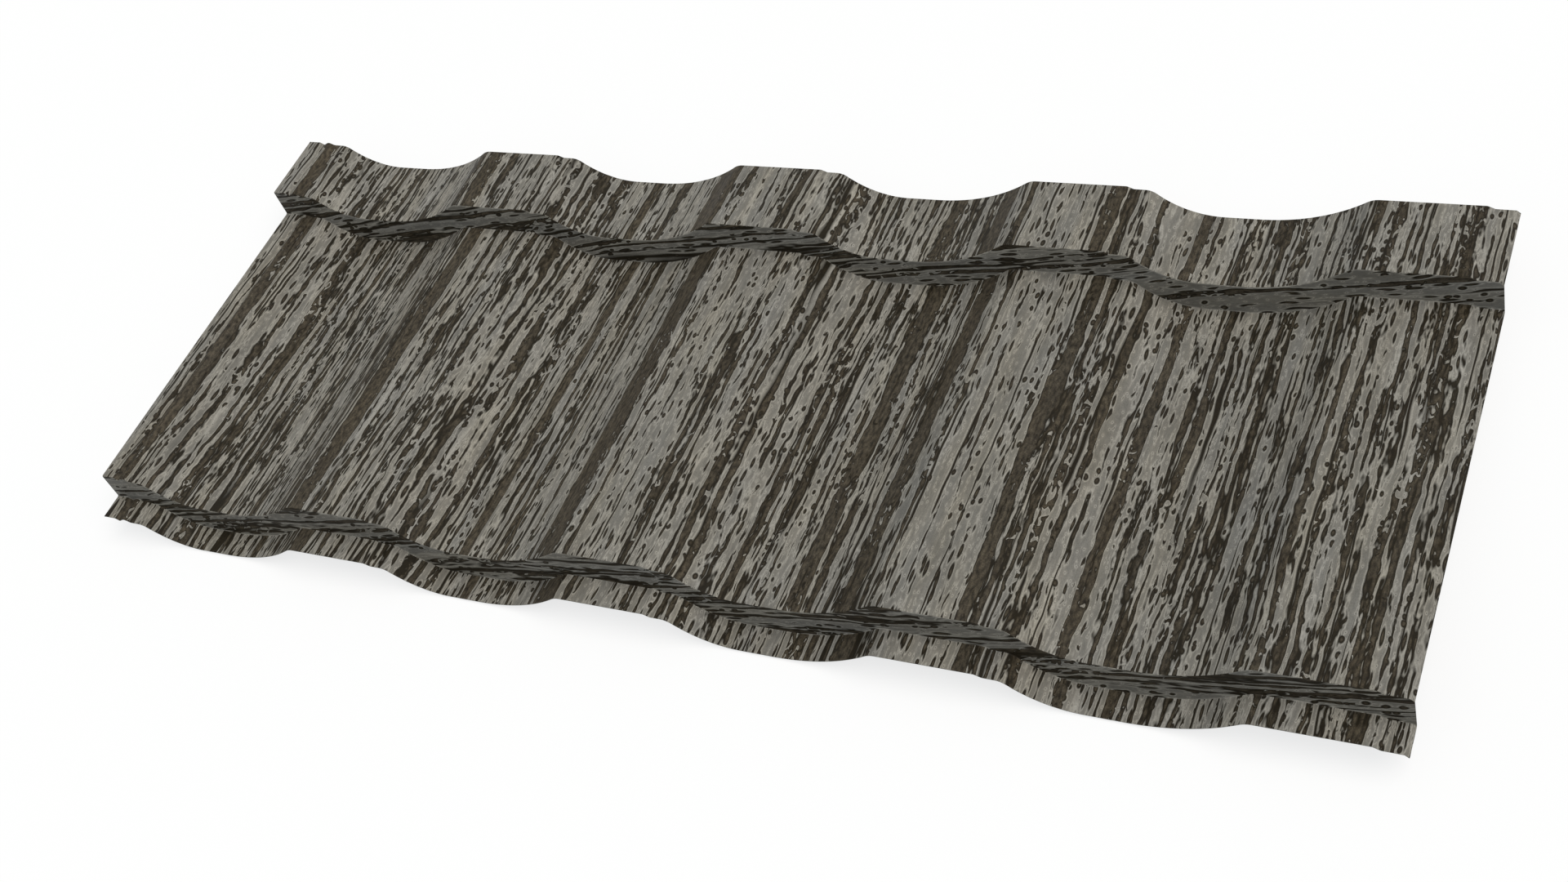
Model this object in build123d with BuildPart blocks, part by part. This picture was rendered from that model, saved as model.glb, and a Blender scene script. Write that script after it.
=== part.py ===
from build123d import *
import os
from math import atan, cos, degrees, sin

os.makedirs("parts", exist_ok=True)

# A roof tile sheet, pressed from one piece of thin steel. Four waves lie side by side, and two
# steps are pressed across all of them, so it looks like rows of laid tiles. All sizes are in mm.
# It lies as it would on a level floor: X runs across the waves, +Y points from the front edge to
# the back edge, and the origin is on the floor under the middle of the sheet.

gauge = 0.5  # thickness of the steel

# One wave, from the edge of a crest to the edge of the next one. Its parts add up to the pitch.
waves = 4
shoulder_run = 5.6
shoulder_drop = 2.9
ledge_run = 15.5
ledge_fall = 0.25
flank_run = 58.8
trough_flat = 29.1
rise_run = 92.1
crest_flat = 86.4
wave_depth = 30.0
ledge_bend_radius = 13.0  # where a ledge meets its flank
crest_bend_radius = 17.0  # where the long rise meets its crest

# Left edge, which goes under the next sheet: a flat, a drip groove and the end of the crest.
edge_flat = 13.7
groove_fall_run = 4.3
groove_rise_run = 5.8
groove_depth = 3.1
groove_to_shoulder = 2.5

# Right edge, which goes over the next sheet: the ledge ends in a short lip.
lip_run = 3.0
lip_drop = 3.0

# Along the sheet, from the back edge to the front edge, square to the strips between the steps.
steps = 2
back_strip = 75.4
module = 350.0
front_strip = 24.8
step_height = 29.4
step_lean = 1.0  # the foot of a step stands this far in front of its top

# Spare stock that the blocks below need around the sheet before they are cut.
overrun = 5.0
spare_depth = 10.0

wave_pitch = shoulder_run + ledge_run + flank_run + trough_flat + rise_run + crest_flat
left_lap = edge_flat + groove_fall_run + groove_rise_run + groove_to_shoulder
sheet_width = left_lap + waves * wave_pitch + shoulder_run + ledge_run + lip_run
sheet_length = back_strip + (steps - 1) * module + step_lean + front_strip
ledge_end_drop = shoulder_drop + ledge_fall
block_depth = wave_depth + step_height + spare_depth

# The sheet rests on the feet of its steps, so each strip between them rises towards the front
# by one step's height.
slope = atan(step_height / module)
foot_along = back_strip + step_lean - gauge
foot_drop = step_height + wave_depth + gauge
back_y = (sheet_length * cos(slope) + (steps * step_height + wave_depth + gauge) * sin(slope)) / 2
back_z = foot_drop * cos(slope) - foot_along * sin(slope)
lying = Plane(
    origin=(0, back_y, back_z),
    x_dir=(1, 0, 0),
    z_dir=(0, sin(slope), cos(slope)),
)
towards_front = -lying.y_dir


def section_plane(along, height):
    """Plane square to the strips, this far from the back edge and above the back strip."""
    origin = lying.from_local_coords((0, -along, height))
    return Plane(origin, x_dir=(1, 0, 0), z_dir=towards_front)


def fall_line(set_back=0.0, spare=0.0):
    """Section planes at the ends of every strip and step, from the back edge to the front."""
    planes = [section_plane(-spare, 0)]
    for step in range(steps):
        top = back_strip + step * module - set_back
        planes.append(section_plane(top, -step * step_height))
        planes.append(section_plane(top + step_lean, -(step + 1) * step_height))
    planes.append(section_plane(sheet_length + spare, -steps * step_height))
    return planes


# The region below the upper face, seen along the sheet, with X across and Y up from the crests.
left_edge = -sheet_width / 2
right_edge = sheet_width / 2
first_shoulder = left_edge + left_lap
ledge_bends = []
crest_bends = []
with BuildSketch() as below_upper_face:
    with BuildLine():
        groove_start = left_edge + edge_flat
        groove_bottom = groove_start + groove_fall_run
        groove_end = groove_bottom + groove_rise_run
        Polyline(
            (left_edge - overrun, 0),
            (groove_start, 0),
            (groove_bottom, -groove_depth),
            (groove_end, 0),
            (first_shoulder, 0),
        )
        for wave in range(waves + 1):
            shoulder = first_shoulder + wave * wave_pitch
            ledge_end = (shoulder + shoulder_run + ledge_run, -ledge_end_drop)
            Polyline(
                (shoulder, 0),
                (shoulder + shoulder_run, -shoulder_drop),
                ledge_end,
            )
            if wave < waves:
                trough_start = (ledge_end[0] + flank_run, -wave_depth)
                trough_end = (trough_start[0] + trough_flat, -wave_depth)
                crest_start = (trough_end[0] + rise_run, 0)
                TangentArc(trough_start, ledge_end, tangent=(-1, 0))
                Line(trough_start, trough_end)
                TangentArc(trough_end, crest_start, tangent=(1, 0))
                Line(crest_start, (crest_start[0] + crest_flat, 0))
                ledge_bends.append(ledge_end)
                crest_bends.append(crest_start)
        lip_slope = lip_drop / lip_run
        lip_end = (right_edge + overrun, -ledge_end_drop - lip_slope * (lip_run + overrun))
        Polyline(
            ledge_end,
            lip_end,
            (lip_end[0], -block_depth),
            (left_edge - overrun, -block_depth),
            (left_edge - overrun, 0),
        )
    make_face()
    for bends, radius in ((ledge_bends, ledge_bend_radius), (crest_bends, crest_bend_radius)):
        corners = below_upper_face.vertices()
        fillet([corners.sort_by_distance(bend)[0] for bend in bends], radius=radius)

# The region below the lower face is the same one, shrunk by the steel's thickness and open below.
with BuildSketch() as below_lower_face:
    add(below_upper_face.sketch)
    offset(amount=-gauge, kind=Kind.INTERSECTION, mode=Mode.REPLACE)
    with Locations((0, -block_depth)):
        Rectangle(sheet_width + overrun, 2 * spare_depth)

with BuildSketch() as upper_block_section:
    add(below_upper_face.sketch)
    Rectangle(sheet_width, 2 * block_depth, mode=Mode.INTERSECT)

# The block below the upper face, carried strip by strip down the fall line, less the block below
# the lower face, whose steps stand back by the steel's thickness.
with BuildPart() as tile_sheet:
    for section, planes, mode in (
        (upper_block_section, fall_line(), Mode.ADD),
        (below_lower_face, fall_line(set_back=gauge, spare=overrun), Mode.SUBTRACT),
    ):
        for start, end in zip(planes, planes[1:]):
            with BuildSketch(start):
                add(section.sketch)
            leg = end.origin - start.origin
            extrude(amount=leg.length, dir=leg, mode=mode)

tile_sheet.part.label = "tile_sheet"
export_step(tile_sheet.part, "parts/tile_sheet.step")

box = tile_sheet.part.bounding_box()
print("wave pitch", round(wave_pitch, 2), "cover width", round(waves * wave_pitch, 2))
print("rise of a strip, degrees", round(degrees(slope), 3))
print("box from", box.min, "to", box.max)
print("solids", len(tile_sheet.part.solids()), "volume", round(tile_sheet.part.volume, 1))
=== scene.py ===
# %% [markdown]
# # A metal roof tile sheet with a weathered wood print
#
# The real thing is one piece of thin steel, rolled into flat-topped waves and then pressed so
# that two steps cross it, like the front edges of two rows of tiles. Its face is printed with
# the grain of old grey wood. This file makes that sheet, its finishes and a small photo studio.
#
# Everything is in metres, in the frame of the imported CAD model: X runs across the waves, +Y
# points up the fall to the back edge, and the floor is at Z = 0. The sheet's own sizes are written
# in mm, and turned into metres where its points are made. The cells build on each other, so they
# are read, and run, from top to bottom.

# %% Load the frame
from math import atan, cos, degrees, radians, sin

import bpy
import numpy as np
from mathutils import Matrix, Vector


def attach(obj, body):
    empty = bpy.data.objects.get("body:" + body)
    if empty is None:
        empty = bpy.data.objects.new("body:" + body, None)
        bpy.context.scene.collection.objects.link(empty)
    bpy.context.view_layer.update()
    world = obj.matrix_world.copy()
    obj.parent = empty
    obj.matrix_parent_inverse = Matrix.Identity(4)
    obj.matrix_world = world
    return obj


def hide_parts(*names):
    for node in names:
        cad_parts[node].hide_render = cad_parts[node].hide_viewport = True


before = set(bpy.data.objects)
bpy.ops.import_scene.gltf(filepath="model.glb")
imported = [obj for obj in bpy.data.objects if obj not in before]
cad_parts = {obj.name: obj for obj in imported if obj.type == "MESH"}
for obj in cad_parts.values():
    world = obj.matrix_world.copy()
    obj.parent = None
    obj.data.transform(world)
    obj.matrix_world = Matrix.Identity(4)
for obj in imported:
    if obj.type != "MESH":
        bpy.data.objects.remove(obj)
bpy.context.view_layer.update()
MM = 0.001

# %% [markdown]
# ## The cross section
#
# Seen from its front edge, the sheet repeats one wave four times: a small shoulder, a narrow
# ledge, a curved flank, a flat trough, a long curved rise and a flat crest. A roll former bends
# it out of flat steel, so the section is one line with arcs in it.
#
# It could be drawn as a curve object and bevelled, or cut out of a box. Here the height is a
# plain function of the place across the sheet, because then every column of the mesh can ask
# for its own height, and because the same numbers as in the CAD model keep the shape true.

# %% Sizes of one wave and of the two side edges, in mm
gauge = 0.5
shoulder_run, shoulder_drop = 5.6, 2.9
ledge_run, ledge_fall = 15.5, 0.25
flank_run, trough_flat, rise_run, crest_flat = 58.8, 29.1, 92.1, 86.4
wave_depth, waves = 30.0, 4
ledge_bend, crest_bend = 13.0, 17.0
edge_flat, groove_fall, groove_rise, groove_depth, groove_gap = 13.7, 4.3, 5.8, 3.1, 2.5
lip_run, lip_drop = 3.0, 3.0

wave_pitch = shoulder_run + ledge_run + flank_run + trough_flat + rise_run + crest_flat
left_lap = edge_flat + groove_fall + groove_rise + groove_gap
sheet_width = left_lap + waves * wave_pitch + shoulder_run + ledge_run + lip_run
left_edge, right_edge = -sheet_width / 2, sheet_width / 2
first_shoulder = left_edge + left_lap
print(f"waves every {wave_pitch:.1f} mm, sheet {sheet_width:.1f} mm wide")


# %% The section before its bends are rounded
def wave_height(place):
    """Height of one wave, in mm below the crests, at places measured from its shoulder.

    Straight pieces run between the corners. The flank is the lower part of a circle that lies
    flat on the trough and passes through the ledge's end, and the rise is one that passes
    through the crest's edge. A circle that falls by d over a run r has radius (r*r + d*d) / 2d,
    and its height above the trough at a distance x is radius - sqrt(radius^2 - x^2).
    """
    ledge_end = shoulder_run + ledge_run
    ledge_low = shoulder_drop + ledge_fall
    trough_start = ledge_end + flank_run
    trough_end = trough_start + trough_flat
    crest_start = trough_end + rise_run
    straight = np.interp(
        place,
        [0, shoulder_run, ledge_end, trough_start, trough_end, crest_start],
        [0, -shoulder_drop, -ledge_low, -wave_depth, -wave_depth, 0],
    )

    def above_trough(run, drop, distance):
        radius = (run**2 + drop**2) / (2 * drop)
        return radius - np.sqrt(radius**2 - np.clip(distance, 0, run) ** 2)

    flank = -wave_depth + above_trough(flank_run, wave_depth - ledge_low, trough_start - place)
    rise = -wave_depth + above_trough(rise_run, wave_depth, place - trough_end)
    on_flank = (place > ledge_end) & (place < trough_start)
    on_rise = (place > trough_end) & (place < crest_start)
    return np.select([on_flank, on_rise], [flank, rise], straight)


def sharp_height(x):
    """Height across the whole sheet: the left edge with its groove, the waves, the right lip."""
    edge_corners = np.cumsum([0, edge_flat, groove_fall, groove_rise, groove_gap]) + left_edge
    edge = np.interp(x, edge_corners, [0, 0, -groove_depth, 0, 0])
    wave = np.clip((x - first_shoulder) // wave_pitch, 0, waves)
    height = wave_height(x - first_shoulder - wave * wave_pitch)
    lip = -shoulder_drop - ledge_fall - (x - right_edge + lip_run) * lip_drop / lip_run
    return np.select([x < first_shoulder, x > right_edge - lip_run], [edge, lip], height)


# %% Rounding a bend with a rolling disc
def rolled_under(height, radius, pitch):
    """A height line after a disc of this radius has been rolled along under it.

    The disc's centre stays as high as the line lets it: the lowest value of line minus disc over
    the disc's width. The rounded line is then the highest value of centre plus disc. Edges that
    point up become arcs of the disc's radius, and everything else stays.
    """
    reach = int(radius / pitch)
    offsets = np.arange(-reach, reach + 1) * pitch
    disc = np.sqrt(radius**2 - offsets**2)

    def windows(line):
        padded = np.pad(line, reach, mode="edge")
        return np.lib.stride_tricks.sliding_window_view(padded, 2 * reach + 1)

    centre = (windows(height) - disc).min(axis=1)
    return (windows(centre) + disc).max(axis=1)


# %% The section with its two large bends rounded
wanted_step = 0.2
fine_x = np.linspace(left_edge, right_edge, int(sheet_width / wanted_step) + 1)
fine_step = fine_x[1] - fine_x[0]
sharp = sharp_height(fine_x)
place_in_wave = (fine_x - first_shoulder) % wave_pitch
in_waves = (fine_x > first_shoulder) & (fine_x < first_shoulder + waves * wave_pitch)
# A disc rounds only the bend that it is meant for, this far to each side of it in mm.
ledge_reach, crest_reach = 10, 14
near_ledge_bend = in_waves & (abs(place_in_wave - shoulder_run - ledge_run) < ledge_reach)
near_crest_bend = in_waves & (abs(place_in_wave - wave_pitch + crest_flat) < crest_reach)
section = np.select(
    [near_ledge_bend, near_crest_bend],
    [rolled_under(sharp, ledge_bend, fine_step), rolled_under(sharp, crest_bend, fine_step)],
    sharp,
)
print(f"{len(section)} points, from {section.min():.2f} to {section.max():.2f} mm")

# %% [markdown]
# ## The creases
#
# No steel sheet has a knife-sharp crease: even a pressed one is about a millimetre round. The
# Bevel modifier could do it, but it needs the right edges picked. A line can round its own
# creases instead: each point moves to the average of the line a little before and behind it.


# %% Rounding a crease by averaging
def eased(line, ease):
    """A dense line of points after its creases are rounded over this distance either way.

    The average of a line between two points is the difference of its running sums there,
    divided by the distance. On a straight run that changes nothing. At a crease it gives a
    short curve that leaves the first straight and meets the second one. Near the line's ends
    the distance shrinks, down to tiny, so that nothing is divided by zero.
    """
    tiny = 1e-6
    lengths = np.hypot(*np.diff(line, axis=0).T)
    travel = np.concatenate([[0], np.cumsum(lengths)])
    middles = (line[1:] + line[:-1]) / 2
    sums = np.concatenate([[[0, 0]], np.cumsum(middles * lengths[:, None], axis=0)])
    half = np.minimum(ease, np.minimum(travel, travel[-1] - travel))
    half = np.maximum(half, tiny)
    ahead, behind = travel + half, travel - half
    average = [np.interp(ahead, travel, s) - np.interp(behind, travel, s) for s in sums.T]
    rounded = np.stack(average, axis=1) / (ahead - behind)[:, None]
    rounded[0], rounded[-1] = line[0], line[-1]
    return rounded


# %% Picking the points for the mesh
def spread(line, longest, sharpest, gentle, margin, closest):
    """Picks the points of a dense line that the mesh will use.

    In mm, none is further from the next than longest, and the line turns by no more than about
    sharpest degrees between two of them. A bend is where it turns by more than gentle degrees
    in a millimetre. Over the margin before and after each bend the points stand closest
    together, so that smooth shading sees where the straight begins. The line is walked in even
    steps of effort, which is length / spacing + turn / sharpest, added up.
    """
    runs = np.diff(line, axis=0)
    lengths = np.hypot(*runs.T)
    heading = np.unwrap(np.arctan2(runs[:, 1], runs[:, 0]))
    turn = np.degrees(np.abs(np.gradient(heading)))
    middle = np.cumsum(lengths) - lengths / 2
    bent = middle[turn / lengths > gentle]
    after = np.searchsorted(bent, middle).clip(1, len(bent) - 1)
    gap = np.minimum(abs(middle - bent[after]), abs(middle - bent[after - 1]))
    spacing = np.where(gap < margin, closest, longest)
    effort = np.concatenate([[0], np.cumsum(lengths / spacing + turn / sharpest)])
    steps = np.linspace(0, effort[-1], int(np.ceil(effort[-1])) + 1)
    return np.stack([np.interp(steps, effort, column) for column in line.T], axis=1)


crease_ease = 0.8
across = spread(
    eased(np.stack([fine_x, section], axis=1), crease_ease),
    longest=6.0,
    sharpest=6.0,
    gentle=1.5,
    margin=0.8,
    closest=0.8,
)
print(len(across), "columns across the sheet")

# %% [markdown]
# ## The fall line
#
# Along the sheet, from the back edge to the front, there are three straight strips with two
# steps between them. Each step drops by almost 30 mm. The press makes the whole section slide
# down without changing it. The strips and steps could be separate pieces that are joined
# afterwards, but the section carried along this one line gives the same sheet without a seam.

# %% The line from the back edge to the front edge, in mm
back_strip, module, front_strip = 75.4, 350.0, 24.8
step_height, step_lean, steps = 29.4, 1.0, 2
tops = back_strip + module * np.arange(steps)
corner_along = [0.0, tops[0], tops[0] + step_lean, tops[1], tops[1] + step_lean]
corner_along.append(corner_along[-1] + front_strip)
corner_height = [0, 0, -step_height, -step_height, -2 * step_height, -2 * step_height]
corners = np.array([corner_along, corner_height], float).T
sheet_length = corner_along[-1]
print("corners of the fall line:", corners.round(1).tolist())

# %% The fall line with its creases rounded
travel = np.concatenate([[0], np.cumsum(np.hypot(*np.diff(corners, axis=0).T))])
dense_step = 0.05
dense_travel = np.append(np.arange(0, travel[-1], dense_step), travel[-1])
dense = np.stack([np.interp(dense_travel, travel, column) for column in corners.T], axis=1)
step_ease = 1.5
along = spread(
    eased(dense, step_ease),
    longest=25.0,
    sharpest=15.0,
    gentle=1.5,
    margin=0.6,
    closest=0.6,
)
print(len(along), "rows along the sheet, which is", round(sheet_length, 1), "mm long")

# %% [markdown]
# ## Laying the sheet down
#
# The sheet rests on the feet of its two steps, so each strip tips up a little towards the
# front. The tip is the step's height over the steps' spacing. The whole object could be turned
# by that angle, but here its points are turned, so that the object stays at the origin, unturned.

# %% From places on the sheet to places in the room
slope = atan(step_height / module)
foot_along = back_strip + step_lean - gauge
foot_drop = step_height + wave_depth + gauge
back_y = (sheet_length * cos(slope) + (steps * step_height + wave_depth + gauge) * sin(slope)) / 2
back_z = foot_drop * cos(slope) - foot_along * sin(slope)


def laid(x, run, height):
    """Points in metres: the place along the strips and above them, turned by the slope about X,
    so that Y falls by run * cos + and rises by height * sin, and Z gains run * sin + height * cos."""
    y = back_y - run * cos(slope) + height * sin(slope)
    z = back_z + run * sin(slope) + height * cos(slope)
    return np.stack(np.broadcast_arrays(x, y, z), axis=-1) * MM


print("slope of the strips:", round(degrees(slope), 2), "degrees")

# %% [markdown]
# ## The sheet as one closed skin
#
# The real sheet is half a millimetre thick. The Solidify modifier could give it that. Here the
# back face is worked out from the printed one, and a strip of faces closes the rim, because then
# it is known from the start which face is printed, which is the back and which is a cut edge.


# %% The printed face and the back face as two grids
def face_grid(section_line, fall):
    """Points of the printed face: row by row the section's place across, and its height added
    to the fall line's height. The result has the shape (rows, columns, 3)."""
    return laid(
        section_line[None, :, 0],
        fall[:, None, 0],
        fall[:, None, 1] + section_line[None, :, 1],
    )


def upward(grid):
    """Unit normals of a grid: the cross product of its two directions, which points up."""
    normal = np.cross(np.gradient(grid, axis=1), -np.gradient(grid, axis=0))
    return normal / np.linalg.norm(normal, axis=-1, keepdims=True)


front = face_grid(across, along)
back = front - gauge * MM * upward(front)
rows, columns = front.shape[:2]
print("lowest point of the back face:", round(back[..., 2].min() / MM, 3), "mm above the floor")


# %% Stitching the two grids into one closed sheet
def quads(index):
    """Faces of a grid of vertex numbers: each has a vertex, its right neighbour and the two
    in the next row."""
    corners_of = [index[1:, :-1], index[1:, 1:], index[:-1, 1:], index[:-1, :-1]]
    return np.stack(corners_of, axis=-1).reshape(-1, 4)


top_index = np.arange(rows * columns).reshape(rows, columns)
under_index = top_index + rows * columns
# Once round the rim, so that one strip of faces closes all four cut edges.
rim = np.concatenate([
    top_index[0, :-1], top_index[:-1, -1], top_index[-1, :0:-1], top_index[:0:-1, 0]
])
rim = np.append(rim, rim[0])
rim_faces = quads(np.stack([rim, rim + rows * columns]))
top_faces = quads(top_index)
under_faces = quads(under_index)[:, ::-1]
faces = np.concatenate([top_faces, under_faces, rim_faces])

sheet_mesh = bpy.data.meshes.new("printed_sheet")
points = np.concatenate([front.reshape(-1, 3), back.reshape(-1, 3)])
sheet_mesh.from_pydata(points, [], faces)
sheet_mesh.validate()
sheet_mesh.polygons.foreach_set("use_smooth", np.ones(len(faces), bool))
# Only the edges of the rim turn by more than this, and they stay sharp.
sharp_angle = radians(50)
sheet_mesh.set_sharp_from_angle(angle=sharp_angle)
printed_sheet = bpy.data.objects.new("printed_sheet", sheet_mesh)
bpy.context.scene.collection.objects.link(printed_sheet)
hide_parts("tile_sheet")
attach(printed_sheet, "root")
print(len(faces), "faces, of which", len(rim_faces), "on the cut edges")

# %% Which face has which finish
ON_STRIP, ON_RISER, ON_BACK, ON_CUT = range(4)
row_drop = -np.diff(along[:, 1])
row_run = np.diff(along[:, 0])
on_riser = np.repeat(row_drop > row_run, columns - 1)
finish_of_face = np.concatenate([
    np.where(on_riser, ON_RISER, ON_STRIP),
    np.full(len(under_faces), ON_BACK),
    np.full(len(rim_faces), ON_CUT),
])
sheet_mesh.polygons.foreach_set("material_index", finish_of_face)
print("risers have", int(on_riser.sum()), "faces")


# %% [markdown]
# ## Making materials out of nodes
#
# A material could be painted in the node editor, or take its colours from a photo. Here it is
# written as code, so that it works at any size and can be changed number by number. A few small
# helpers are enough. They add a node, do arithmetic, fade a value, make noise that is drawn out
# along the grain, which is what nearly everything in wood is made of, and make a colour ramp.


# %% Adding a node
def node(tree, kind, inputs=(), **settings):
    """A new node. settings are its own options, and inputs maps a socket's name or number to a
    value or to another node's output."""
    made = tree.nodes.new(kind)
    for option, value in settings.items():
        setattr(made, option, value)
    for socket, value in dict(inputs).items():
        if isinstance(value, bpy.types.NodeSocket):
            tree.links.new(value, made.inputs[socket])
        else:
            made.inputs[socket].default_value = value
    return made


def calc(tree, operation, *values):
    """The result of a Math node. MULTIPLY_ADD is the first value times the second, plus the third."""
    return node(tree, "ShaderNodeMath", enumerate(values), operation=operation).outputs[0]


def fade(tree, value, low, high, to_low, to_high):
    """A value that goes softly from to_low to to_high while another goes from low to high."""
    ends = {"Value": value, "From Min": low, "From Max": high, "To Min": to_low, "To Max": to_high}
    return node(tree, "ShaderNodeMapRange", ends, interpolation_type="SMOOTHSTEP").outputs[0]


# %% Noise drawn out along the grain
def drawn_out(tree, place, wide, long, seed, detail=0.0, distortion=0.0):
    """Noise between about -1 and 1, in blots this wide across the grain and this long along it.

    place is in mm. Dividing it by the blot's size stretches the noise, the seed moves it to
    another part of the endless pattern, and 4 * noise - 2 centres it on zero.
    """
    shift_of_seed = (7.31, 3.77)
    shift = (seed * shift_of_seed[0], seed * shift_of_seed[1], 0)
    scaled = node(
        tree,
        "ShaderNodeMapping",
        {"Vector": place, "Scale": (1 / wide, 1 / long, 1), "Location": shift},
    )
    noise = node(
        tree,
        "ShaderNodeTexNoise",
        {
            "Vector": scaled.outputs[0],
            "Scale": 1.0,
            "Detail": detail,
            "Distortion": distortion,
        },
        noise_dimensions="2D",
    )
    return calc(tree, "MULTIPLY_ADD", noise.outputs[0], 4.0, -2.0)


# %% Colours and colour ramps
def seen(*colour):
    """A colour as it is seen on a screen, 0 to 255, as the linear numbers that Blender mixes. A
    share s of 255 is s / 12.92 where it is almost black, and ((s + 0.055) / 1.055)^2.4 above."""
    share = np.array(colour) / 255
    linear = np.where(share <= 0.04045, share / 12.92, ((share + 0.055) / 1.055) ** 2.4)
    return (*linear.tolist(), 1.0)


def colour_ramp(tree, value, stops):
    """The colour that a ramp gives a value. Each stop is a position and a colour, and between
    two stops the colour goes straight from one to the other."""
    ramp = node(tree, "ShaderNodeValToRGB", {0: value})
    made = ramp.color_ramp.elements
    while len(made) < len(stops):
        made.new(1.0)
    for stop, (position, colour) in zip(made, stops):
        stop.position, stop.color = position, colour
    return ramp.outputs[0]


print("a grey that is seen as 128 is", round(seen(128)[0], 3), "to Blender")

# %% [markdown]
# ## The wood print
#
# The printed face looks like old boards that the weather has worn: pale grey wood with dark
# olive-brown bands between the boards, a worm-like figure of light and dark fibres, short dark
# pores and long cracks. The grain runs down the roof.
#
# All of it can come from one number per point, here called the height of the wood: low is dark
# ink, high is bare pale wood, and the line between them is sharp. Boards set the rough height,
# and noises drawn out along the grain bend the line into fibres. Curls are raised by taking
# whichever is higher, and pores and cracks are cut in by taking whichever is lower. A colour
# ramp then turns the height into ink, with a darker rim and a lighter rim beside the line,
# which is what makes the print look carved.

# %% How high the wood of a board is, in words
wood_heights = {
    "solid": 0.0,  # one dark band
    "streak": 0.3,  # a dark line with nibbled edges
    "dark": 0.4,
    "mixed": 0.535,
    "light": 0.6,
    "pale": 0.64,
    "bare": 0.75,  # hardly any fibres
    "clean": 0.95,  # only pores and cracks
}
print("kinds of board:", ", ".join(wood_heights))

# %% The boards on the strips, from the left edge to the right edge, with their widths in mm
strip_boards = """
bare 20, solid 13, light 45, dark 12, light 10, dark 9, mixed 20, dark 6, light 9, mixed 6,
light 20, dark 8, pale 25, mixed 5, pale 10, streak 12, mixed 4, solid 14, pale 14, streak 6,
light 34, mixed 6, light 12, mixed 12, dark 6, light 10, dark 15, light 9, streak 7, mixed 7,
light 22, solid 9, light 25, streak 8, pale 41, solid 25, pale 12, dark 6, bare 38, mixed 10,
streak 7, light 10, pale 20, streak 5, light 7, streak 7, pale 13, mixed 13, dark 6, mixed 29,
light 24, solid 14, pale 6, streak 7, mixed 11, pale 6, dark 8, solid 14, pale 12, streak 7,
bare 66, solid 11, pale 4, streak 4, mixed 18, pale 6, streak 6, bare 24, solid 7, pale 25,
mixed 7, streak 7, light 22, dark 6, mixed 6, dark 17, bare 14, mixed 30, pale 6, streak 4,
light 10, streak 6, pale 11, mixed 14, light 16, streak 17, pale 19, mixed 8
"""

# %% The boards on the risers, which lie flat, so that the lowest one comes first
riser_boards = """
clean 66, streak 5, clean 36, mixed 8, pale 16, streak 8, pale 30, mixed 12, pale 12, dark 8,
pale 12, streak 6, bare 20, mixed 12, dark 8, bare 20, bare 60, streak 5, light 24, streak 6,
pale 20, mixed 14, dark 10, light 16, mixed 16, pale 18, dark 8, light 16, mixed 16, dark 9,
light 20, bare 22
"""


def board_list(text):
    """Pairs of width in mm and height of the wood."""
    words = [board.split() for board in text.split(",")]
    return [(float(width), wood_heights[kind]) for kind, width in words]


for text in (strip_boards, riser_boards):
    widths = [width for width, _ in board_list(text)]
    print(len(widths), "boards,", sum(widths), "mm in all")


# %% The boards as colour ramps
def board_height(tree, across, boards, left):
    """The rough height of the wood at a place across, in mm. The first board begins at left.

    A colour ramp is a line through up to 32 stops, so each ramp takes 16 boards. A board has two
    stops, a little inside its ends, so that it is level and slopes to its neighbour's height.
    """
    boards_per_ramp, ease = 16, 1.6
    height = None
    for first in range(0, len(boards), boards_per_ramp):
        group = boards[first : first + boards_per_ramp]
        right = left + sum(width for width, _ in group)
        stops = []
        edge = left
        for width, level in group:
            for place in (edge + ease, edge + width - ease):
                stops.append(((place - left) / (right - left), (level, level, level, 1)))
            edge += width
        ends = {"Value": across, "From Min": left, "From Max": right}
        share = node(tree, "ShaderNodeMapRange", ends).outputs[0]
        group_height = colour_ramp(tree, share, stops)
        if height is None:
            height = group_height
        else:
            past = calc(tree, "GREATER_THAN", across, left)
            pick = {"Factor": past, "A": height, "B": group_height}
            height = node(tree, "ShaderNodeMix", pick, data_type="FLOAT").outputs[0]
        left = right
    return height


# %% The way the grain wanders
# The width and length of each wave, and how far it moves the grain, in mm.
wander_layers = ((200, 380, 1.4), (36, 100, 0.8), (9, 24, 0.5))


def wander_of(tree, flat, seed):
    """How far the grain is moved sideways, in mm: each wave's noise times its own move sideways,
    added up, from the slow waves to the quick ones."""
    wander = 0.0
    for number, (wide, long, sideways) in enumerate(wander_layers, 1):
        wave = drawn_out(tree, flat, wide, long, seed + number)
        wander = calc(tree, "MULTIPLY_ADD", wave, sideways, wander)
    return wander


print("the grain wanders by up to about", sum(layer[2] for layer in wander_layers), "mm")


# %% The grain of the strips
# What each mm up the sheet adds to the place across, at its middle, and how much that changes
# with each mm to the right.
strip_lean, strip_lean_change = -0.02, 0.000014


def strip_grain(tree, flat, seed):
    """Place across the grain on the strips: x + y * (lean + change * x) + wander. The grain leans
    a little, more at the left."""
    split = node(tree, "ShaderNodeSeparateXYZ", {0: flat})
    lean = calc(tree, "MULTIPLY_ADD", split.outputs[0], strip_lean_change, strip_lean)
    straight = calc(tree, "MULTIPLY_ADD", split.outputs[1], lean, split.outputs[0])
    return calc(tree, "ADD", straight, wander_of(tree, flat, seed))


# %% The grain of the risers
# What each mm to the right, and each mm towards the back, adds to the place across.
riser_climb, riser_shift = -0.17, -0.8


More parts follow.
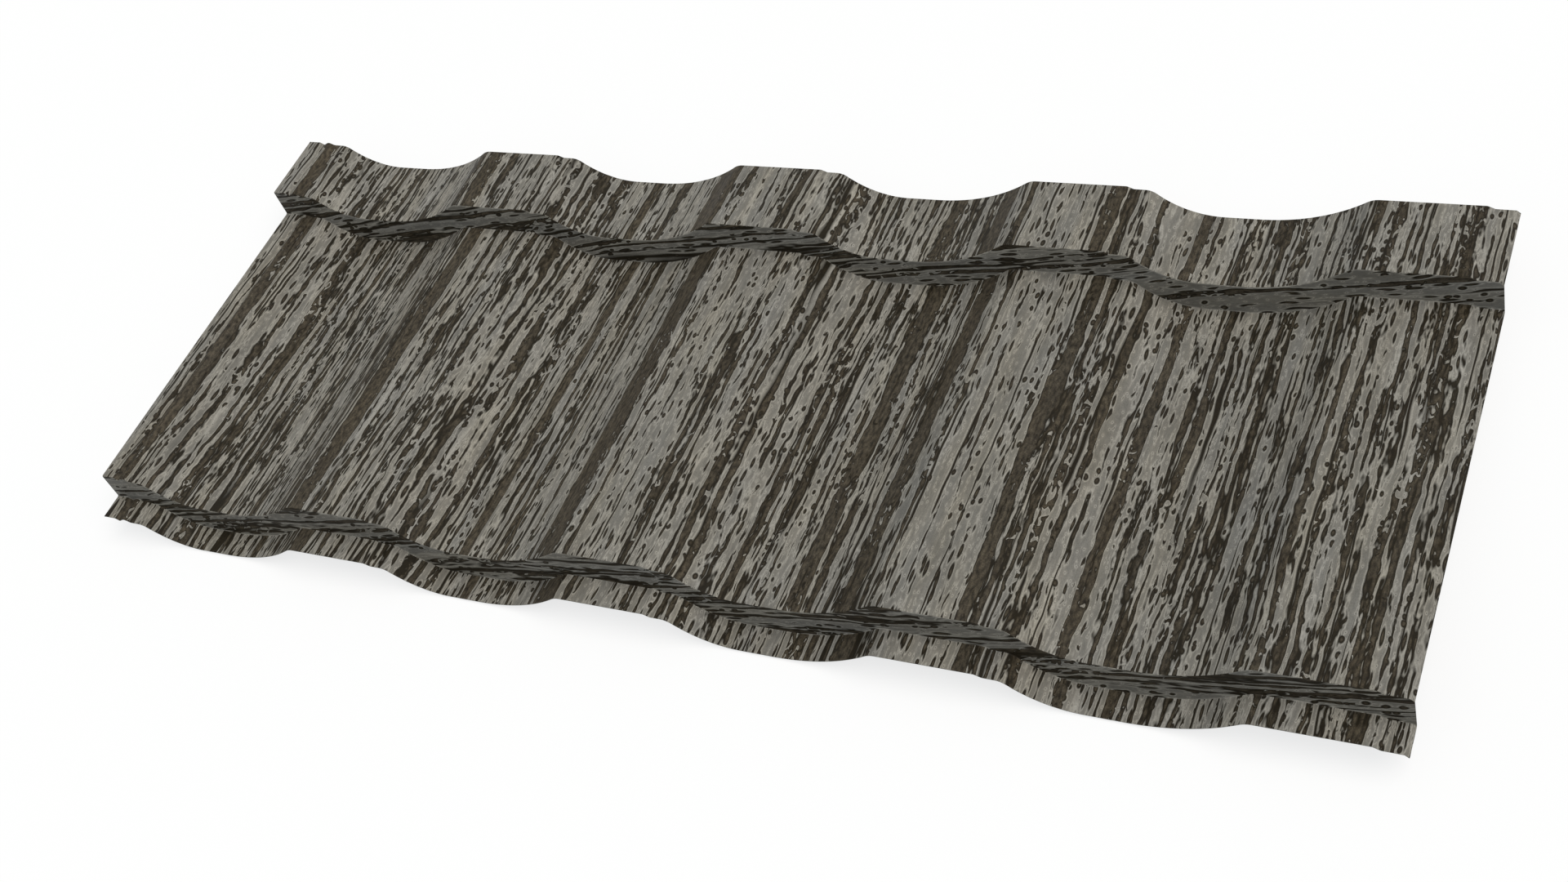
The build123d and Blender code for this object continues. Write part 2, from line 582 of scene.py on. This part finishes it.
def riser_grain(tree, flat, seed):
    """Place across the grain on the risers: height + climb * x + shift * y + wander. The grain
    climbs to the right, and the second riser, which stands 350 mm in front of the first, shows
    another part of the wood."""
    split = node(tree, "ShaderNodeSeparateXYZ", {0: flat})
    climbing = calc(tree, "MULTIPLY_ADD", split.outputs[1], riser_climb, split.outputs[0])
    moved_on = calc(tree, "MULTIPLY_ADD", split.outputs[2], riser_shift, climbing)
    return calc(tree, "ADD", moved_on, wander_of(tree, flat, seed))


# %% Fibres
# The width and length of each layer's blots in mm, how strongly it is added, and whether it
# curls. From long streaks to fibres, a worm-like figure and small bumps.
fibre_layers = (
    (4.5, 400, 0.15, False),
    (3.6, 105, 0.2, False),
    (3.3, 28, 0.1, True),
    (2.6, 8, 0.055, True),
)


def add_fibres(tree, height, place, seed):
    """The height plus each layer's noise times its strength. The layers that curl do so more in
    some places than in others, as the figure does round a knot."""
    curl = fade(tree, drawn_out(tree, place, 40, 60, seed), 0.1, 0.7, 0.1, 0.9)
    for number, (wide, long, strength, is_curly) in enumerate(fibre_layers, 1):
        distortion = curl if is_curly else 0.0
        noise = drawn_out(tree, place, wide, long, seed + number, distortion=distortion)
        height = calc(tree, "MULTIPLY_ADD", noise, strength, height)
    return height


# %% Curls
# Over this much height, what is raised or cut goes softly over into what is there.
softness = 0.05


def add_curls(tree, height, rough_height, place, seed):
    """Raises small curled strokes of pale wood out of the dark, by taking whichever is higher:
    the wood, or a curled noise times its strength plus how far they crowd here. A broader noise
    says where they crowd together, and the solid dark bands have few."""
    strength, most_crowded, in_solid_dark = 0.35, 0.34, -0.15
    crowd = fade(tree, drawn_out(tree, place, 18, 90, seed), 0.1, 0.9, 0.0, most_crowded)
    fewer = fade(tree, rough_height, 0.0, 0.25, in_solid_dark, 0.0)
    crowd = calc(tree, "ADD", crowd, fewer)
    curls = drawn_out(tree, place, 4.0, 9, seed + 1, distortion=1.0)
    curls = calc(tree, "MULTIPLY_ADD", curls, strength, crowd)
    return calc(tree, "SMOOTH_MAX", height, curls, softness)


# %% Pores
# The cells' width and length in mm and the share of them with a pore, for long ones and short.
pore_kinds = ((4.6, 26, 0.4), (6.0, 11, 0.08))


def cut_pores(tree, height, place, wide, long, share, seed):
    """Cuts short dashes in, by taking whichever is lower: the wood or the pore.

    Each cell of a stretched Voronoi pattern has one point. The distance to it, less a radius that
    differs from cell to cell, is below zero in the pore, and the pore's height is that plus the
    height at its rim. The cells are this wide and this long in mm, and about this share of them
    has a pore, but more where a broad noise is high.
    """
    crowding = 0.3
    smallest, larger = 0.19, 0.12
    rim_height = 0.47
    cells = node(tree, "ShaderNodeMapping", {"Vector": place, "Scale": (1 / wide, 1 / long, 1)})
    pores = node(
        tree,
        "ShaderNodeTexVoronoi",
        {"Vector": cells.outputs[0], "Scale": 1.0, "Randomness": 0.95},
        voronoi_dimensions="2D",
    )
    chance = node(tree, "ShaderNodeSeparateXYZ", {0: pores.outputs["Color"]})
    crowd = calc(tree, "MULTIPLY_ADD", drawn_out(tree, place, 16, 70, seed), crowding, share)
    has_pore = calc(tree, "LESS_THAN", chance.outputs[0], crowd)
    radius = calc(tree, "MULTIPLY_ADD", chance.outputs[1], larger, smallest)
    radius = calc(tree, "MULTIPLY", radius, has_pore)
    outside = calc(tree, "SUBTRACT", pores.outputs["Distance"], radius)
    pore = calc(tree, "ADD", outside, rim_height)
    return calc(tree, "SMOOTH_MIN", height, pore, softness)


# %% Cracks
def cut_cracks(tree, height, place, seed):
    """Cuts long thin cracks in, along the lines where a very long noise passes through zero, by
    taking whichever is lower: the wood, or bottom + steepness * size of the noise + lift. The
    lift is a second noise, which raises them out of the wood in places, so that each one ends."""
    bottom, steepness = 0.37, 0.9
    line = calc(tree, "ABSOLUTE", drawn_out(tree, place, 19, 1100, seed))
    lift = fade(tree, drawn_out(tree, place, 9, 150, seed + 1), 0.0, 0.25, 0.0, 0.5)
    crack = calc(tree, "ADD", calc(tree, "MULTIPLY_ADD", line, steepness, bottom), lift)
    return calc(tree, "SMOOTH_MIN", height, crack, softness)


# %% Ink colours, from the lowest wood to the highest
ink_stops = (
    (0.0, seen(65, 59, 49)),
    (0.28, seen(57, 51, 41)),
    (0.37, seen(31, 26, 16)),
    (0.44, seen(27, 23, 14)),
    (0.57, seen(150, 146, 137)),
    (0.65, seen(123, 119, 111)),
    (0.80, seen(114, 111, 104)),
)
print("the ink turns from dark to pale between", ink_stops[3][0], "and", ink_stops[4][0])

# %% Specks and hairs in the ink
# The width and length of each layer's specks in mm, and their strength in dark and pale ink.
speck_layers = ((12, 60, 0.10, 0.09), (2.4, 6.0, 0.40, 0.05), (0.9, 1.4, 0.22, 0.07))
hair_wide, hair_long, hair_strength = 0.8, 8, 0.05


def speckled(tree, height, hairs, place, seed):
    """A brightness near 1: one factor of 1 + noise * strength for each layer, and for the hairs."""
    brightness = 1.0
    for number, (wide, long, in_dark, in_pale) in enumerate(speck_layers):
        specks = drawn_out(tree, place, wide, long, seed + number)
        strength = fade(tree, height, 0.2, 0.5, in_dark, in_pale)
        factor = calc(tree, "MULTIPLY_ADD", specks, strength, 1.0)
        brightness = calc(tree, "MULTIPLY", brightness, factor)
    factor = calc(tree, "MULTIPLY_ADD", hairs, hair_strength, 1.0)
    return calc(tree, "MULTIPLY", brightness, factor)


# %% Warm and cool streaks in the ink
def streaked(tree, colour, place, seed):
    """A colour times a tint that has more red and less blue where the ink is warmer."""
    redder, less_blue = 0.012, -0.025
    warmth = drawn_out(tree, place, 14, 120, seed)
    red = calc(tree, "MULTIPLY_ADD", warmth, redder, 1.0)
    blue = calc(tree, "MULTIPLY_ADD", warmth, less_blue, 1.0)
    tint = node(tree, "ShaderNodeCombineXYZ", {0: red, 1: 1.0, 2: blue}).outputs[0]
    product = node(tree, "ShaderNodeVectorMath", {0: colour, 1: tint}, operation="MULTIPLY")
    return product.outputs[0]


# %% The print, all together
in_mm = (1 / MM, 1 / MM, 1 / MM)


def wood_print(name, turn_flat, grain, boards, left, stretch, seed):
    """The print as a material. turn_flat turns the object's coordinates so that X is across the
    grain and Y along it, grain gives the exact place across, and the first board begins at
    left. stretch makes everything but the curls and pores longer along the grain."""
    material = bpy.data.materials.new(name)
    material.use_nodes = True
    tree = material.node_tree
    shader = tree.nodes["Principled BSDF"]
    coordinates = node(tree, "ShaderNodeTexCoord").outputs["Object"]
    turned = {"Vector": coordinates, "Rotation": turn_flat, "Scale": in_mm}
    flat = node(tree, "ShaderNodeMapping", turned).outputs[0]
    across = grain(tree, flat, seed)
    length = node(tree, "ShaderNodeSeparateXYZ", {0: flat}).outputs[1]
    true_place = node(tree, "ShaderNodeCombineXYZ", {0: across, 1: length}).outputs[0]
    length = calc(tree, "DIVIDE", length, stretch)
    place = node(tree, "ShaderNodeCombineXYZ", {0: across, 1: length}).outputs[0]

    rough_height = board_height(tree, across, board_list(boards), left)
    height = add_fibres(tree, rough_height, place, seed + 4)
    height = add_curls(tree, height, rough_height, true_place, seed + 16)
    height = cut_cracks(tree, height, place, seed + 9)
    for number, (wide, long, share) in enumerate(pore_kinds, 11):
        height = cut_pores(tree, height, true_place, wide, long, share, seed + number)

    hairs = drawn_out(tree, place, hair_wide, hair_long, seed + 15)
    ink = streaked(tree, colour_ramp(tree, height, ink_stops), place, seed + 16)
    scaled = {0: ink, "Scale": speckled(tree, height, hairs, place, seed + 12)}
    ink = node(tree, "ShaderNodeVectorMath", scaled, operation="SCALE").outputs[0]
    tree.links.new(ink, shader.inputs["Base Color"])
    rough_in_dark, rough_in_pale = 0.62, 0.54
    roughness = fade(tree, height, 0.4, 0.6, rough_in_dark, rough_in_pale)
    tree.links.new(roughness, shader.inputs["Roughness"])
    # The lacquer is a little raised along the second layer of fibres and along the hairs.
    wide, long = fibre_layers[1][:2]
    fibres = drawn_out(tree, place, wide, long, seed + 6)
    height_of_hairs = 0.3
    raised = calc(tree, "MULTIPLY_ADD", hairs, height_of_hairs, fibres)
    relief = node(tree, "ShaderNodeBump", {"Height": raised, "Strength": 0.2, "Distance": 0.0001})
    tree.links.new(relief.outputs[0], shader.inputs["Normal"])
    shader.inputs["Specular IOR Level"].default_value = 0.12
    print(name, "has", len(tree.nodes), "nodes")
    return material


strip_turn = (slope, 0, 0)
riser_turn = (radians(90), 0, radians(90))
strip_print = wood_print(
    "strip_print", strip_turn, strip_grain, strip_boards, left_edge, stretch=1.0, seed=1
)
# The first riser stands at this Y, and without the shift this is its lowest place across.
first_riser_y, lowest_across = 153, -110
riser_left = lowest_across + riser_shift * first_riser_y
riser_print = wood_print(
    "riser_print", riser_turn, riser_grain, riser_boards, riser_left, stretch=1.8, seed=21
)

# %% [markdown]
# ## The back coat and the cut edges
#
# The underside has a plain grey lacquer, rolled on while the steel was still flat, so it has
# faint stripes along the fall. Where the sheet was sheared off, the bare steel shows. Both could
# be one flat grey, but nothing real is: here slow clouds, roller stripes and fine grain each
# change the brightness by a few percent, and the roughness a little.

# %% Plain coats with clouds, stripes and grain
def coat(name, colour, metallic, rough, layers):
    """A coat whose brightness and roughness change a little. layers holds, for each noise, its
    width and length in mm and its strength."""
    material = bpy.data.materials.new(name)
    material.use_nodes = True
    tree = material.node_tree
    shader = tree.nodes["Principled BSDF"]
    coordinates = node(tree, "ShaderNodeTexCoord").outputs["Object"]
    turned = {"Vector": coordinates, "Rotation": strip_turn, "Scale": in_mm}
    flat = node(tree, "ShaderNodeMapping", turned).outputs[0]
    first_seed, roughness_sway = 51, 1.5
    sway = 0.0
    for seed, (wide, long, strength) in enumerate(layers, first_seed):
        noise = drawn_out(tree, flat, wide, long, seed, detail=1.0)
        sway = calc(tree, "MULTIPLY_ADD", noise, strength, sway)
    scaled = {0: colour[:3], "Scale": calc(tree, "ADD", sway, 1.0)}
    paint = node(tree, "ShaderNodeVectorMath", scaled, operation="SCALE")
    tree.links.new(paint.outputs[0], shader.inputs["Base Color"])
    roughness = calc(tree, "MULTIPLY_ADD", sway, roughness_sway, rough)
    tree.links.new(roughness, shader.inputs["Roughness"])
    relief = node(tree, "ShaderNodeBump", {"Height": sway, "Strength": 0.2, "Distance": 0.0002})
    tree.links.new(relief.outputs[0], shader.inputs["Normal"])
    shader.inputs["Metallic"].default_value = metallic
    print(name, "has", len(tree.nodes), "nodes")
    return material


# %% The back coat, the cut edges and the four finishes in their order
back_layers = ((90, 160, 0.06), (5, 400, 0.045), (2.5, 60, 0.03), (0.7, 0.7, 0.04))
edge_layers = ((6, 6, 0.12), (0.3, 0.3, 0.2))
back_grey, steel_grey = seen(150, 151, 148), seen(112, 111, 106)
back_coat = coat("back_coat", back_grey, metallic=0.0, rough=0.5, layers=back_layers)
cut_edge = coat("cut_edge", steel_grey, metallic=0.7, rough=0.5, layers=edge_layers)
for material in (strip_print, riser_print, back_coat, cut_edge):
    sheet_mesh.materials.append(material)
print("finishes:", [material.name for material in sheet_mesh.materials])

# %% [markdown]
# ## The camera
#
# The photo looks down on the sheet from the front right, and the camera is rolled a little. It
# could be pointed at the sheet's middle, but then it would stand upright. Its place and direction
# were solved from the outline of the sheet, so they are given directly.

# %% Camera
camera_data = bpy.data.cameras.new("camera")
camera_data.sensor_width = 36.0
camera_data.lens = 43.8146
camera_data.clip_start, camera_data.clip_end = 0.01, 50.0
camera = bpy.data.objects.new("camera", camera_data)
picture_right = (0.88324526, 0.34026378, -0.32264279)
picture_up = (-0.11324941, 0.82249202, 0.55738807)
towards_eye = (0.45503009, -0.45577126, 0.76499684)
eye = (0.786374, -0.773526, 1.250289)
turn = Matrix([picture_right, picture_up, towards_eye]).transposed()
camera.matrix_world = Matrix.Translation(eye) @ turn.to_4x4()
bpy.context.scene.collection.objects.link(camera)
bpy.context.scene.camera = camera
print("camera", [round(c, 3) for c in camera.location], "lens", round(camera_data.lens, 2), "mm")

# %% [markdown]
# ## The studio
#
# A pale floor, an even sky and one broad lamp above the right side. A real studio does this with
# a paper sweep and softboxes. Here the sky is the world, and a sun lamp with a very wide angle is
# the softbox, because it lights the whole floor evenly. Together they light a level surface at
# about full strength, so that a colour comes out about as it was written.
#
# The white background is not made with more light. Rays that come straight from the camera see
# the floor and the sky as white paper with some glow of its own, and the sheet still throws its
# soft shadow on that. For the rays that carry light, the floor is a dim grey, because white
# paper would light the risers from below and make them as pale as the strips.

# %% What the camera sees as background
def background_share(tree):
    """1 for rays from the camera, and for those that reach it by gloss or through glass, and 0
    for the rays that carry the light."""
    rays = node(tree, "ShaderNodeLightPath")
    direct = calc(tree, "ADD", rays.outputs["Is Camera Ray"], rays.outputs["Is Glossy Ray"])
    every = calc(tree, "ADD", direct, rays.outputs["Is Transmission Ray"])
    return calc(tree, "MINIMUM", every, 1.0)


# %% Floor
half_floor = 6.0
floor_mesh = bpy.data.meshes.new("floor")
floor_corners = np.array([(-1, -1, 0), (1, -1, 0), (1, 1, 0), (-1, 1, 0)]) * half_floor
floor_mesh.from_pydata(floor_corners, [], [(0, 1, 2, 3)])
floor = bpy.data.objects.new("floor", floor_mesh)
bpy.context.scene.collection.objects.link(floor)

paper = bpy.data.materials.new("floor_paper")
paper.use_nodes = True
tree = paper.node_tree
tree.nodes.remove(tree.nodes["Principled BSDF"])
glow_share = 0.75
dim_grey, pure_white = (0.2, 0.2, 0.2, 1), (1, 1, 1, 1)
dim_matt = node(tree, "ShaderNodeBsdfDiffuse", {"Color": dim_grey})
white_matt = node(tree, "ShaderNodeBsdfDiffuse", {"Color": pure_white})
glow = node(tree, "ShaderNodeEmission", {"Color": pure_white, "Strength": 1.0})
seen_paper = node(
    tree, "ShaderNodeMixShader", {0: glow_share, 1: white_matt.outputs[0], 2: glow.outputs[0]}
)
floor_look = node(
    tree,
    "ShaderNodeMixShader",
    {0: background_share(tree), 1: dim_matt.outputs[0], 2: seen_paper.outputs[0]},
)
tree.links.new(floor_look.outputs[0], tree.nodes["Material Output"].inputs["Surface"])
floor_mesh.materials.append(paper)
print("floor of", 2 * half_floor, "m each way")

# %% Sky
sky_strength = 0.46
world = bpy.data.worlds.new("studio_sky")
world.use_nodes = True
tree = world.node_tree
sky = tree.nodes["Background"]
sky.inputs["Color"].default_value = (0.84, 0.93, 1.0, 1)
sky.inputs["Strength"].default_value = sky_strength
white = node(tree, "ShaderNodeBackground", {"Color": pure_white, "Strength": 1.0})
sky_look = node(
    tree,
    "ShaderNodeMixShader",
    {0: background_share(tree), 1: sky.outputs[0], 2: white.outputs[0]},
)
tree.links.new(sky_look.outputs[0], tree.nodes["World Output"].inputs["Surface"])
bpy.context.scene.world = world
print("sky strength:", sky_strength)

# %% Softbox
# A sun of strength pi, straight above, lights a white surface to full white. The softbox has
# this share of that strength.
lamp_share = 0.67
lamp_data = bpy.data.lights.new("softbox", "SUN")
lamp_data.energy = lamp_share * np.pi
lamp_data.angle = radians(50)
lamp_data.color = (1.0, 0.95, 0.88)
lamp = bpy.data.objects.new("softbox", lamp_data)
towards_lamp = Vector((0.45, 0.02, 0.89))
lamp.matrix_world = towards_lamp.to_track_quat("Z", "Y").to_matrix().to_4x4()
bpy.context.scene.collection.objects.link(lamp)

bpy.context.scene.view_settings.view_transform = "Standard"
level_share = lamp_share * towards_lamp.normalized().z
print("a level surface gets", sky_strength, "from the sky,", round(level_share, 2), "from the lamp")
